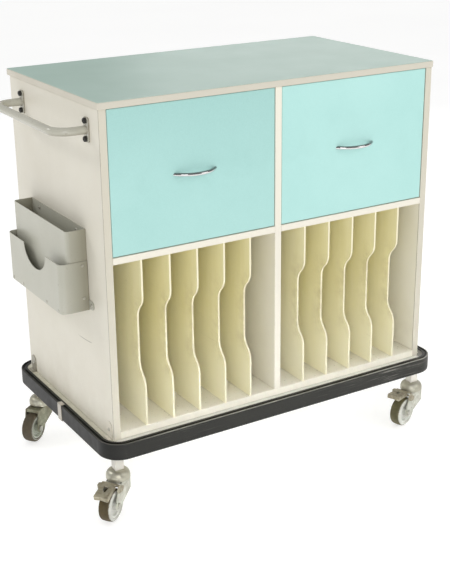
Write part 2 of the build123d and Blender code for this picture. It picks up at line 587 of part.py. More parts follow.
def touch(point, side):
    """Where a line from a point meets the round eye at the axle."""
    dx, dz = point[0] - TRAIL, point[1] - WHEEL_R
    turn = atan2(dz, dx) + side * acos(FORK_EYE / sqrt(dx * dx + dz * dz))
    return (TRAIL + FORK_EYE * cos(turn), WHEEL_R + FORK_EYE * sin(turn))


def make_fork(braked):
    """Pressed fork: crown and two legs; a braked one is open in front for the pedal."""
    heel = (FORK_BACK, 58.0)
    if braked:
        front = [(CROWN_BRAKED, CROWN_Z1), (29.0, 88.5), (34.0, 84.0), (42.5, 74.0)]
    else:
        front = [(CROWN_FRONT, CROWN_Z1)]
    with BuildPart() as form:
        # crown
        with BuildSketch(Plane.XY.offset(CROWN_Z0)):
            Circle(27)
            end = front[0][0]
            with Locations(((FORK_BACK + end) / 2, 0)):
                Rectangle(end - FORK_BACK, 2 * (FORK_IN + FORK_T))
            Circle(STEM_R + RUN_FIT, mode=Mode.SUBTRACT)
        extrude(amount=CROWN_Z1 - CROWN_Z0)
        # legs
        for way in (1, -1):
            with BuildSketch(Plane.XZ.offset(-way * FORK_IN)):
                with BuildLine():
                    Polyline((FORK_BACK, CROWN_Z1), heel, touch(heel, 1), touch(front[-1], -1),
                             *reversed(front), close=True)
                make_face()
                with Locations((TRAIL, WHEEL_R)):
                    Circle(FORK_EYE)
                    Circle(AXLE_R + RUN_FIT, mode=Mode.SUBTRACT)
                if braked:
                    with Locations((PIVOT_X, PIVOT_Z)):
                        Circle(PIVOT_R + RUN_FIT, mode=Mode.SUBTRACT)
            extrude(amount=-way * FORK_T)
        if not braked:
            # turned-down lip across the front of the crown
            with BuildSketch(Plane.XY.offset(CROWN_Z0 - 5)):
                with Locations((CROWN_FRONT - 1.25, 0)):
                    Rectangle(2.5, 2 * FORK_IN)
            extrude(amount=5)
        fillet(form.edges().filter_by(Axis.X).group_by(Axis.Z)[-1].filter_by(
            lambda e: abs(abs(e.center().Y) - FORK_IN - FORK_T) < 0.01 and e.length > 4), 2.0)
    return form.part


braked_fork_form = make_fork(True)
plain_fork_form = make_fork(False)

with BuildPart() as axle_form:
    with Locations((TRAIL, 0, WHEEL_R)):
        Cylinder(AXLE_R, 2 * (FORK_IN + FORK_T) + 8, rotation=(90, 0, 0))
    for way in (1, -1):
        with BuildSketch(Plane.XZ.offset(-way * (FORK_IN + FORK_T))):
            with Locations((TRAIL, WHEEL_R)):
                RegularPolygon(7.2, 6)
        extrude(amount=-way * 4.0)

with BuildPart() as hub_form:
    with BuildSketch(Plane.XY.offset(WHEEL_R)):
        with BuildLine():
            Polyline((TRAIL + AXLE_R + RUN_FIT, -17.4), (TRAIL + 9, -17.4), (TRAIL + 10.5, -9),
                     (TRAIL + 23, -8), (TRAIL + 25, -13.4), (TRAIL + TYRE_IN - 0.05, -13.4),
                     (TRAIL + TYRE_IN - 0.05, 13.4), (TRAIL + 25, 13.4), (TRAIL + 23, 8),
                     (TRAIL + 10.5, 9), (TRAIL + 9, 17.4), (TRAIL + AXLE_R + RUN_FIT, 17.4),
                     close=True)
        make_face()
    revolve(axis=Axis((TRAIL, 0, WHEEL_R), (0, 1, 0)))

with BuildPart() as tyre_form:
    with BuildSketch(Plane.XY.offset(WHEEL_R)):
        with BuildLine():
            half_w = WHEEL_W / 2
            Polyline((TRAIL + TYRE_IN, -half_w + 1.6), (TRAIL + TYRE_IN + 1.0, -half_w),
                     (TRAIL + WHEEL_R - 5.5, -half_w))
            ThreePointArc((TRAIL + WHEEL_R - 5.5, -half_w), (TRAIL + WHEEL_R - 2.0, -half_w + 2.0),
                          (TRAIL + WHEEL_R - 0.5, -half_w + 6.0))
            ThreePointArc((TRAIL + WHEEL_R - 0.5, -half_w + 6.0), (TRAIL + WHEEL_R, 0),
                          (TRAIL + WHEEL_R - 0.5, half_w - 6.0))
            ThreePointArc((TRAIL + WHEEL_R - 0.5, half_w - 6.0), (TRAIL + WHEEL_R - 2.0, half_w - 2.0),
                          (TRAIL + WHEEL_R - 5.5, half_w))
            Polyline((TRAIL + WHEEL_R - 5.5, half_w), (TRAIL + TYRE_IN + 1.0, half_w),
                     (TRAIL + TYRE_IN, half_w - 1.6), (TRAIL + TYRE_IN, -half_w + 1.6))
        make_face()
    revolve(axis=Axis((TRAIL, 0, WHEEL_R), (0, 1, 0)))

tilt = radians(PEDAL_TILT)
PEDAL_PLANE = Plane(origin=(PIVOT_X + PEDAL_H * sin(tilt), 0, PIVOT_Z + PEDAL_H * cos(tilt)),
                    x_dir=(cos(tilt), 0, -sin(tilt)), z_dir=(sin(tilt), 0, cos(tilt)))
CHEEK_OUT = CHEEK_IN + CHEEK_T
with BuildSketch() as star:
    with BuildLine():
        Polyline((6, -CHEEK_OUT), (10.5, -CHEEK_OUT), (12.5, -29.6), (22, -29.6), (33, -20.6), (61.5, -20),
                 (59, -1), (61.5, 17.8), (34, 14.6), (10.5, 13.2), (10.5, CHEEK_OUT), (6, CHEEK_OUT), close=True)
    make_face()
    fillet(star.vertices().filter_by(lambda v: v.X > 11.5), 2.4)
with BuildPart() as pedal_form:
    # star-shaped plate with a three-cornered hole and an ear on one side
    with BuildSketch(PEDAL_PLANE):
        add(star.sketch)
        with BuildSketch(mode=Mode.PRIVATE) as hole:
            with BuildLine():
                Polyline((20.5, -11.0), (20.5, 3.0), (40.5, 1.0), (40.5, -3.5), (33.0, -9.0), close=True)
            make_face()
            fillet(hole.vertices(), 1.4)
        add(hole.sketch, mode=Mode.SUBTRACT)
    extrude(amount=-PEDAL_T)
    # rim turned down along the sides and the front
    with BuildSketch(PEDAL_PLANE.offset(-PEDAL_T)):
        add(star.sketch)
        offset(star.sketch, amount=-PEDAL_RIM_T, mode=Mode.SUBTRACT)
        with Locations((6.0, 0)):
            Rectangle(11.4, 70, mode=Mode.SUBTRACT)
    extrude(amount=-PEDAL_RIM)
    # cheeks outside the fork that carry the pivot pin
    for way in (1, -1):
        with BuildSketch(Plane.XZ.offset(-way * CHEEK_IN)):
            with BuildLine():
                Polyline((35.2, 93.4), (39.8, 92.4), (45.5, 87.5), (46.5, 77.0), (40.0, 73.0), (24.0, 71.0),
                         (17.0, 75.0), (15.5, 81.0), (18.0, 84.5), (28.0, 89.5), close=True)
            make_face()
        extrude(amount=-way * CHEEK_T)
        with Locations((PIVOT_X, way * (CHEEK_OUT + 0.6), PIVOT_Z)):
            Cylinder(4.2, 1.2, rotation=(90, 0, 0))
    with Locations((PIVOT_X, 0, PIVOT_Z)):
        Cylinder(PIVOT_R, 2 * CHEEK_OUT, rotation=(90, 0, 0))
    # brake shoe over the tread
    with BuildSketch(PEDAL_PLANE.offset(-PEDAL_T)):
        with Locations((13.0, 0)):
            Rectangle(8, 16)
    extrude(amount=-6.5)

with BuildPart() as caster_stems:
    with Locations(*[(X(x), Y(y), 0) for x, y, a in CASTERS.values()]):
        add(stem_form.part)
keep(caster_stems, "caster_stems")

with BuildPart() as caster_domes:
    with Locations(*[(X(x), Y(y), 0) for x, y, a in CASTERS.values()]):
        add(dome_form.part)
keep(caster_domes, "caster_domes")

for corner, (x, y, a) in CASTERS.items():
    place = Location((X(x), Y(y), 0), (0, 0, a))
    with BuildPart() as fork:
        with Locations(place):
            add(braked_fork_form if corner in BRAKED else plain_fork_form)
    keep(fork, corner + "_fork")
    with BuildPart() as axle:
        with Locations(place):
            add(axle_form.part)
    keep(axle, corner + "_axle")
    with BuildPart() as hub:
        with Locations(place):
            add(hub_form.part)
    keep(hub, corner + "_hub")
    with BuildPart() as tyre:
        with Locations(place):
            add(tyre_form.part)
    keep(tyre, corner + "_tyre")
    if corner in BRAKED:
        pivot = Location((PIVOT_X, 0, PIVOT_Z), (0, -BRAKED[corner], 0))
        with BuildPart() as pedal:
            with Locations(place * pivot * Location((-PIVOT_X, 0, -PIVOT_Z))):
                add(pedal_form.part)
        keep(pedal, corner + "_brake_pedal")
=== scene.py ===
import json
import math

import bpy
from mathutils import Matrix, Vector


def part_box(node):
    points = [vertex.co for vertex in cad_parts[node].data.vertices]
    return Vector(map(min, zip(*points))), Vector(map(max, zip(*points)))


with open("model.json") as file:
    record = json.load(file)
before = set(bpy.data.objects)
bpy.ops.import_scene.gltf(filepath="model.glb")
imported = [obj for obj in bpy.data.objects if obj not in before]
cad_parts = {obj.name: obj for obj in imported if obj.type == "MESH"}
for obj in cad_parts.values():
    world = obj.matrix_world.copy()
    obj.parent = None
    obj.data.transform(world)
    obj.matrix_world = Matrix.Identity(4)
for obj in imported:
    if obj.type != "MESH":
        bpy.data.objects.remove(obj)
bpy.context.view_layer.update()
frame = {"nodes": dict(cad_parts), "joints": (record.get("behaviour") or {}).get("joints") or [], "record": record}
nodes = frame["nodes"]
scene = bpy.context.scene


# ---------------------------------------------------------------- helpers
def lin(r, g, b):
    """Display colour (0-255) to the linear colour a shader socket takes."""
    out = []
    for v in (r, g, b):
        v = v / 255.0
        out.append(v / 12.92 if v <= 0.04045 else ((v + 0.055) / 1.055) ** 2.4)
    return (*out, 1.0)


class Look:
    """One procedural material. Positions are the object's own, in metres, so a
    pattern stays on its piece when the piece moves."""

    def __init__(self, name, metallic=0.0, specular=0.5, coat=0.0, coat_rough=0.1):
        self.mat = bpy.data.materials.new(name)
        self.mat.use_nodes = True
        self.nt = self.mat.node_tree
        self.nt.nodes.clear()
        out = self.node("ShaderNodeOutputMaterial")
        self.bsdf = self.node("ShaderNodeBsdfPrincipled")
        self.nt.links.new(self.bsdf.outputs["BSDF"], out.inputs["Surface"])
        self.bsdf.inputs["Metallic"].default_value = metallic
        self.bsdf.inputs["Specular IOR Level"].default_value = specular
        self.bsdf.inputs["Coat Weight"].default_value = coat
        self.bsdf.inputs["Coat Roughness"].default_value = coat_rough
        tc = self.node("ShaderNodeTexCoord")
        self.pos = tc.outputs["Object"]
        self.normal = tc.outputs["Normal"]
        self.height = None

    def node(self, kind):
        return self.nt.nodes.new(kind)

    def put(self, socket, value):
        if isinstance(value, bpy.types.NodeSocket):
            self.nt.links.new(value, socket)
        else:
            socket.default_value = value

    def stretch(self, sx, sy, sz):
        m = self.node("ShaderNodeVectorMath")
        m.operation = "MULTIPLY"
        self.put(m.inputs[0], self.pos)
        m.inputs[1].default_value = (sx, sy, sz)
        return m.outputs[0]

    def noise(self, scale, detail=3.0, rough=0.55, warp=0.0, vec=None):
        n = self.node("ShaderNodeTexNoise")
        self.put(n.inputs["Vector"], vec if vec is not None else self.pos)
        n.inputs["Scale"].default_value = scale
        n.inputs["Detail"].default_value = detail
        n.inputs["Roughness"].default_value = rough
        n.inputs["Distortion"].default_value = warp
        return n.outputs["Fac"]

    def cells(self, scale, vec=None, out="Color"):
        n = self.node("ShaderNodeTexVoronoi")
        self.put(n.inputs["Vector"], vec if vec is not None else self.pos)
        n.inputs["Scale"].default_value = scale
        return n.outputs[out]

    def math(self, op, a, b=0.0, clamp=False):
        n = self.node("ShaderNodeMath")
        n.operation = op
        n.use_clamp = clamp
        self.put(n.inputs[0], a)
        self.put(n.inputs[1], b)
        return n.outputs[0]

    def span(self, value, a, b, c=0.0, d=1.0):
        """Value mapped from a..b to c..d, held inside."""
        n = self.node("ShaderNodeMapRange")
        n.clamp = True
        self.put(n.inputs["Value"], value)
        n.inputs["From Min"].default_value = a
        n.inputs["From Max"].default_value = b
        n.inputs["To Min"].default_value = c
        n.inputs["To Max"].default_value = d
        return n.outputs["Result"]

    def mix(self, fac, a, b, blend="MIX"):
        n = self.node("ShaderNodeMix")
        n.data_type = "RGBA"
        n.blend_type = blend
        n.clamp_factor = True
        self.put(n.inputs[0], fac)
        self.put(n.inputs[6], a)
        self.put(n.inputs[7], b)
        return n.outputs[2]

    def axis(self, source, which):
        n = self.node("ShaderNodeSeparateXYZ")
        self.put(n.inputs[0], source)
        return n.outputs[which]

    def facing(self, which, sign):
        """1 on faces whose own normal points along the axis, 0 elsewhere."""
        v = self.axis(self.normal, which)
        return self.span(v, 0.55 * sign, 0.85 * sign) if sign > 0 else self.span(v, -0.55, -0.85)

    def band(self, which, a, b, soft):
        """1 where the position lies between a and b on one axis."""
        v = self.axis(self.pos, which)
        up = self.span(v, a - soft, a + soft)
        down = self.span(v, b - soft, b + soft, 1.0, 0.0)
        return self.math("MULTIPLY", up, down)

    def edge(self, radius, lo=0.995, hi=0.90):
        """1 along sharp edges of the piece."""
        bev = self.node("ShaderNodeBevel")
        bev.samples = 4
        bev.inputs["Radius"].default_value = radius
        geo = self.node("ShaderNodeNewGeometry")
        dot = self.node("ShaderNodeVectorMath")
        dot.operation = "DOT_PRODUCT"
        self.put(dot.inputs[0], bev.outputs[0])
        self.put(dot.inputs[1], geo.outputs["Normal"])
        return self.span(dot.outputs["Value"], lo, hi)

    def soften(self, radius):
        """Edges catch the light as if very slightly rounded."""
        bev = self.node("ShaderNodeBevel")
        bev.samples = 4
        bev.inputs["Radius"].default_value = radius
        self.height = bev.outputs[0]

    def occlusion_shade(self, reach, lo=0.80, hi=0.40):
        """1 in corners and round things that stand on the surface, found by ambient occlusion; a colour mixed in by it
        is painted shade.
        """
        ao = self.node("ShaderNodeAmbientOcclusion")
        ao.samples = 4
        ao.inputs["Distance"].default_value = reach
        return self.span(ao.outputs["AO"], lo, hi)

    def times(self, *values):
        out = values[0]
        for v in values[1:]:
            out = self.math("MULTIPLY", out, v)
        return out

    def scratches(self, long_axis, density=0.5, width=0.006, scale=1.0):
        """Thin, long, broken marks along one axis."""
        s = [170.0 * scale] * 3
        s[long_axis] = 5.0 * scale
        n = self.noise(1.0, 2.0, 0.5, 0.4, self.stretch(*s))
        line = self.span(self.math("ABSOLUTE", self.math("SUBTRACT", n, 0.5)), 0.0, width, 1.0, 0.0)
        gate = self.span(self.noise(7.0 * scale, 2.0), 1.0 - density, 1.12 - density)
        return self.times(line, gate)

    def line(self, a, b, width):
        """A thin mark between two (y, z) points, fading at its ends."""
        (y0, z0), (y1, z1) = a, b
        along = self.span(self.axis(self.pos, 1), y0, y1)
        wave = self.math("MULTIPLY", self.math("SINE", self.math("MULTIPLY", along, math.pi)), -0.002)
        mid = self.math("ADD", self.span(along, 0.0, 1.0, z0, z1), wave)
        off = self.math("ABSOLUTE", self.math("SUBTRACT", self.axis(self.pos, 2), mid))
        ends = self.math("MULTIPLY", self.span(along, 0.0, 0.35), self.span(along, 0.9, 1.0, 1.0, 0.0))
        return self.times(self.span(off, width * 0.4, width, 1.0, 0.0), ends)

    def color(self, value):
        self.put(self.bsdf.inputs["Base Color"], value)

    def rough(self, value):
        self.put(self.bsdf.inputs["Roughness"], value)

    def metal(self, value):
        self.put(self.bsdf.inputs["Metallic"], value)

    def bump(self, height, strength, distance):
        b = self.node("ShaderNodeBump")
        b.inputs["Strength"].default_value = strength
        b.inputs["Distance"].default_value = distance
        self.put(b.inputs["Height"], height)
        if self.height is not None:
            self.nt.links.new(self.height, b.inputs["Normal"])
        self.height = b.outputs["Normal"]
        self.put(self.bsdf.inputs["Normal"], self.height)


# ---------------------------------------------------------------- materials
def sage_laminate():
    k = Look("sage_laminate", specular=0.45)
    mottle = k.span(k.noise(5.0, 5.0, 0.6), 0.3, 0.7)
    base = k.mix(mottle, lin(160, 187, 175), lin(168, 194, 183))
    fine = k.span(k.noise(420.0, 2.0, 0.7), 0.3, 0.7)
    base = k.mix(k.math("MULTIPLY", fine, 0.30), base, lin(182, 206, 195))
    marks = k.scratches(0, 0.42, 0.004)
    base = k.mix(k.math("MULTIPLY", marks, 0.35), base, lin(206, 220, 212))
    smear = k.span(k.noise(2.3, 4.0, 0.6, 0.6), 0.52, 0.72)
    base = k.mix(k.math("MULTIPLY", smear, 0.10), base, lin(143, 166, 154))
    worn = k.edge(0.0022)
    base = k.mix(k.math("MULTIPLY", worn, 0.6), base, lin(214, 216, 202))
    k.color(base)
    k.rough(k.span(k.math("ADD", k.noise(11.0, 4.0), k.math("MULTIPLY", marks, 0.3)), 0.3, 0.9, 0.38, 0.46))
    k.bump(k.noise(900.0, 2.0), 0.05, 0.0002)
    k.bump(marks, 0.12, 0.0001)
    return k.mat


def board(name, face, face2, edge_col, grime_and_shade, low=0.0, floor_dirt=False, bay_lit_faces=None, seam=None, scuff=None):
    """Melamine-faced board with a paler band on its front edges. The faces that
    look into the bays can take a paler cream: painted light for the bays."""
    k = Look(name, specular=0.40)
    k.soften(0.0008)
    mottle = k.span(k.noise(4.0, 5.0, 0.62), 0.3, 0.72)
    base = k.mix(mottle, face, face2)
    fine = k.span(k.noise(520.0, 2.0, 0.7), 0.35, 0.65)
    base = k.mix(k.math("MULTIPLY", fine, 0.10), base, edge_col)
    if bay_lit_faces is not None:
        # painted light: faces that look into the bays get a paler copy of the cream
        base = k.mix(k.facing(0, bay_lit_faces[0]), base, k.mix(mottle, bay_lit_faces[1], bay_lit_faces[2]))
    band = k.facing(1, -1)
    base = k.mix(k.math("MULTIPLY", band, 0.85), base, edge_col)
    if seam is not None:
        base = k.mix(k.times(k.band(1, seam, seam + 0.0016, 0.0004), 0.9), base, lin(122, 114, 94))
    if scuff is not None:
        base = k.mix(k.math("MULTIPLY", k.line(*scuff), 0.75), base, lin(112, 104, 92))
    z = k.axis(k.pos, 2)
    if low:
        near = k.span(z, low, low + 0.16, 1.0, 0.0)
        dirty = k.times(near, k.span(k.noise(14.0, 5.0, 0.65), 0.42, 0.68))
        base = k.mix(k.math("MULTIPLY", dirty, 0.18), base, grime_and_shade)
    marks = k.scratches(2, 0.36, 0.004, 0.8)
    base = k.mix(k.math("MULTIPLY", marks, 0.06), base, grime_and_shade)
    rubs = k.scratches(1, 0.34, 0.006, 0.55)
    base = k.mix(k.math("MULTIPLY", rubs, 0.14), base, grime_and_shade)
    if floor_dirt:
        up = k.facing(2, 1)
        specks = k.span(k.noise(165.0, 2.0, 0.6), 0.66, 0.72)
        base = k.mix(k.times(up, specks, 0.55), base, lin(120, 105, 80))
        film = k.span(k.noise(9.0, 5.0, 0.65), 0.40, 0.70)
        base = k.mix(k.times(up, film, 0.12), base, grime_and_shade)
    # painted shade: corners and contacts found by ambient occlusion are darkened, partly dirt
    base = k.mix(k.math("MULTIPLY", k.occlusion_shade(0.006), 0.35), base, grime_and_shade)
    worn = k.times(k.edge(0.0016), k.span(k.noise(60.0, 4.0, 0.7), 0.50, 0.62))
    base = k.mix(k.math("MULTIPLY", worn, 0.45), base, lin(150, 128, 96))
    k.color(base)
    k.rough(k.span(k.noise(13.0, 4.0, 0.6), 0.3, 0.7, 0.36, 0.54))
    k.bump(k.noise(760.0, 2.0), 0.05, 0.0002)
    k.bump(k.noise(5.5, 2.0), 0.04, 0.002)
    return k.mat


def aqua_board(name, c1, c2, deep=None):
    """Aqua melamine; a deep tone, where given, gathers towards the top edge."""
    k = Look(name, specular=0.45)
    k.soften(0.0010)
    mottle = k.span(k.noise(3.2, 5.0, 0.6), 0.3, 0.7)
    base = k.mix(mottle, c1, c2)
    if deep is not None:
        base = k.mix(k.span(k.axis(k.pos, 2), 0.78, 0.97, 0.0, 0.8), base, deep)
    fine = k.span(k.noise(460.0, 2.0, 0.7), 0.3, 0.7)
    base = k.mix(k.math("MULTIPLY", fine, 0.16), base, lin(196, 236, 231))
    hand = k.span(k.noise(7.0, 4.0, 0.6, 0.5), 0.50, 0.74)
    around = k.band(2, 0.75, 0.88, 0.05)
    base = k.mix(k.times(hand, around, 0.20), base, lin(146, 190, 184))
    marks = k.scratches(0, 0.36, 0.004)
    base = k.mix(k.math("MULTIPLY", marks, 0.30), base, lin(214, 243, 239))
    worn = k.times(k.edge(0.0016), k.span(k.noise(46.0, 4.0, 0.7), 0.46, 0.62))
    base = k.mix(k.math("MULTIPLY", worn, 0.55), base, lin(222, 236, 228))
    k.color(base)
    k.rough(k.span(k.noise(12.0, 4.0), 0.3, 0.7, 0.30, 0.46))
    k.bump(k.noise(820.0, 2.0), 0.05, 0.0002)
    k.bump(k.noise(4.0, 2.0), 0.05, 0.002)
    return k.mat


def divider_board():
    k = Look("divider_board", specular=0.30)
    grain = k.noise(1.0, 4.0, 0.6, 0.3, k.stretch(60.0, 60.0, 9.0))
    base = k.mix(k.span(grain, 0.3, 0.7), lin(241, 234, 185), lin(246, 239, 196))
    flake = k.span(k.noise(240.0, 3.0, 0.7), 0.35, 0.65)
    base = k.mix(k.math("MULTIPLY", flake, 0.22), base, lin(246, 240, 204))
    # painted light: lighter and less yellow towards the bottom and the front of the bay
    lit_lower_front = k.times(k.span(k.axis(k.pos, 2), 0.46, 0.26), k.span(k.axis(k.pos, 1), 0.05, -0.16, 0.4, 1.0))
    base = k.mix(k.math("MULTIPLY", lit_lower_front, 0.75), base, lin(252, 248, 222))
    side = k.math("ABSOLUTE", k.axis(k.normal, 0))
    rim = k.span(side, 0.75, 0.45)
    base = k.mix(k.math("MULTIPLY", rim, 0.9), base, lin(238, 232, 205))
    grip = k.times(k.band(2, 0.33, 0.53, 0.03), k.span(k.noise(26.0, 4.0, 0.65), 0.42, 0.66))
    near = k.span(k.axis(k.pos, 1), -0.215, -0.17, 1.0, 0.0)
    base = k.mix(k.times(grip, near, 0.35), base, lin(176, 158, 116))
    marks = k.scratches(1, 0.44, 0.006, 0.7)
    base = k.mix(k.math("MULTIPLY", marks, 0.25), base, lin(182, 168, 124))
    k.color(base)
    k.rough(k.span(k.noise(18.0, 4.0), 0.3, 0.7, 0.50, 0.68))
    k.bump(flake, 0.06, 0.0003)
    k.bump(grain, 0.05, 0.0005)
    return k.mat


def painted(name, c1, c2, chip_and_shade, edge_r=0.0012, chips=0.45, rough=(0.26, 0.42), dent=0.05, dust=None, spots=0.0,
            underside_shade=0.0, rear=None, scratch=1.0, tip=None, flank_shade=None):
    """Paint on steel: orange peel, faint mottling, chips where edges wear."""
    k = Look(name, specular=0.5)
    k.soften(0.0006)
    base = k.mix(k.span(k.noise(6.0, 5.0, 0.6), 0.3, 0.7), c1, c2)
    if rear is not None:
        base = k.mix(k.span(k.axis(k.pos, 1), 0.10, 0.16), base, rear)
    if flank_shade is not None:
        # painted shade: the face that looks forwards is darkened towards the panel, where the cabinet shades it
        deep = k.span(k.axis(k.pos, 0), PANEL_FACE - 0.058, PANEL_FACE - 0.010)
        base = k.mix(k.times(k.facing(1, -1), deep, 0.9), base, flank_shade)
    marks = k.scratches(2, 0.40, 0.005)
    base = k.mix(k.math("MULTIPLY", marks, 0.18 * scratch), base, chip_and_shade)
    cross = k.scratches(1, 0.36, 0.005, 0.8)
    base = k.mix(k.math("MULTIPLY", cross, 0.16 * scratch), base, chip_and_shade)
    if tip is not None:
        # weld and rubbed paint next to the panel
        near = k.times(k.span(k.axis(k.pos, 0), tip - 0.010, tip - 0.003), k.span(k.noise(150.0, 4.0, 0.7), 0.30, 0.60))
        flat = k.span(k.math("ABSOLUTE", k.axis(k.normal, 0)), 0.97, 0.85)
        base = k.mix(k.times(near, flat, 0.65), base, chip_and_shade)
    # painted shade: faces that look down are darkened
    if underside_shade:
        under = k.span(k.axis(k.normal, 2), -0.1, -0.8)
        base = k.mix(k.math("MULTIPLY", under, underside_shade), base, chip_and_shade)
    if spots:
        rust = k.times(k.span(k.noise(210.0, 3.0, 0.65), 0.62, 0.69), k.span(k.noise(24.0, 3.0), 0.45, 0.62))
        base = k.mix(k.math("MULTIPLY", rust, spots), base, lin(104, 84, 58))
    if dust is not None:
        up = k.facing(2, 1)
        film = k.span(k.noise(30.0, 5.0, 0.7), 0.35, 0.70)
        base = k.mix(k.times(up, film, 0.6), base, dust)
    # painted shade: corners and contacts found by ambient occlusion are darkened, partly dirt
    base = k.mix(k.times(k.occlusion_shade(0.005), k.span(k.noise(120.0, 3.0), 0.25, 0.55), 0.7), base, chip_and_shade)
    worn = k.times(k.edge(edge_r), k.span(k.noise(85.0, 4.0, 0.7), 0.52, 0.62))
    base = k.mix(k.math("MULTIPLY", worn, chips), base, chip_and_shade)
    k.color(base)
    k.rough(k.span(k.math("ADD", k.noise(15.0, 4.0), k.math("MULTIPLY", marks, 0.3 * scratch)), 0.3, 0.8, *rough))
    k.bump(k.noise(650.0, 1.0), 0.07, 0.0002)
    k.bump(k.noise(9.0, 2.0), dent, 0.003)
    k.bump(worn, -0.10, 0.0002)
    return k.mat


def metal(name, c1, c2, dirt, rough=(0.26, 0.46), metallic=0.9, spangle=110.0, dirty=0.35, rust=0.0):
    """Zinc or steel with soft crystal patches, handling marks and some dirt."""
    k = Look(name, metallic=metallic, specular=0.5)
    grey = k.axis(k.cells(spangle), 0)
    base = k.mix(k.span(grey, 0.1, 0.9), c1, c2)
    cloud = k.span(k.noise(40.0, 4.0, 0.6), 0.42, 0.68)
    base = k.mix(k.math("MULTIPLY", cloud, dirty), base, dirt)
    marks = k.scratches(2, 0.5, 0.01, 1.6)
    base = k.mix(k.math("MULTIPLY", marks, 0.3), base, c2)
    worn = k.edge(0.0008)
    base = k.mix(k.math("MULTIPLY", worn, 0.35), base, lin(232, 230, 222))
    if rust:
        # brown film, partly rust and partly painted shade, where parts meet (found by ambient occlusion) and in a band
        # under the crown
        corner = k.math("MAXIMUM", k.occlusion_shade(0.010), k.times(k.band(2, 0.074, 0.094, 0.006), 0.55))
        film = k.span(k.noise(95.0, 5.0, 0.7), 0.36, 0.62)
        base = k.mix(k.times(corner, film, rust), base, lin(112, 94, 66))
    k.color(base)
    k.rough(k.span(k.math("ADD", k.noise(70.0, 4.0), k.math("MULTIPLY", cloud, 0.25)), 0.3, 0.9, *rough))
    k.bump(k.noise(420.0, 3.0), 0.06, 0.0002)
    k.bump(marks, 0.08, 0.0001)
    return k.mat


def chrome():
    k = Look("chrome", metallic=1.0)
    base = k.mix(k.span(k.noise(60.0, 4.0), 0.3, 0.7), lin(214, 214, 214), lin(232, 232, 232))
    marks = k.scratches(0, 0.5, 0.012, 2.0)
    base = k.mix(k.math("MULTIPLY", marks, 0.3), base, lin(170, 170, 168))
    # painted reflection: the upper side of the bow is darkened to stand in for a dark room reflected in it; its front
    # and underside stay bright
    base = k.mix(k.times(k.span(k.axis(k.normal, 2), 0.12, 0.50), 0.85), base, lin(100, 102, 102))
    k.color(base)
    k.rough(k.span(k.math("ADD", k.noise(90.0, 4.0), k.math("MULTIPLY", marks, 0.4)), 0.3, 1.0, 0.04, 0.14))
    k.bump(k.noise(300.0, 2.0), 0.02, 0.0001)
    return k.mat


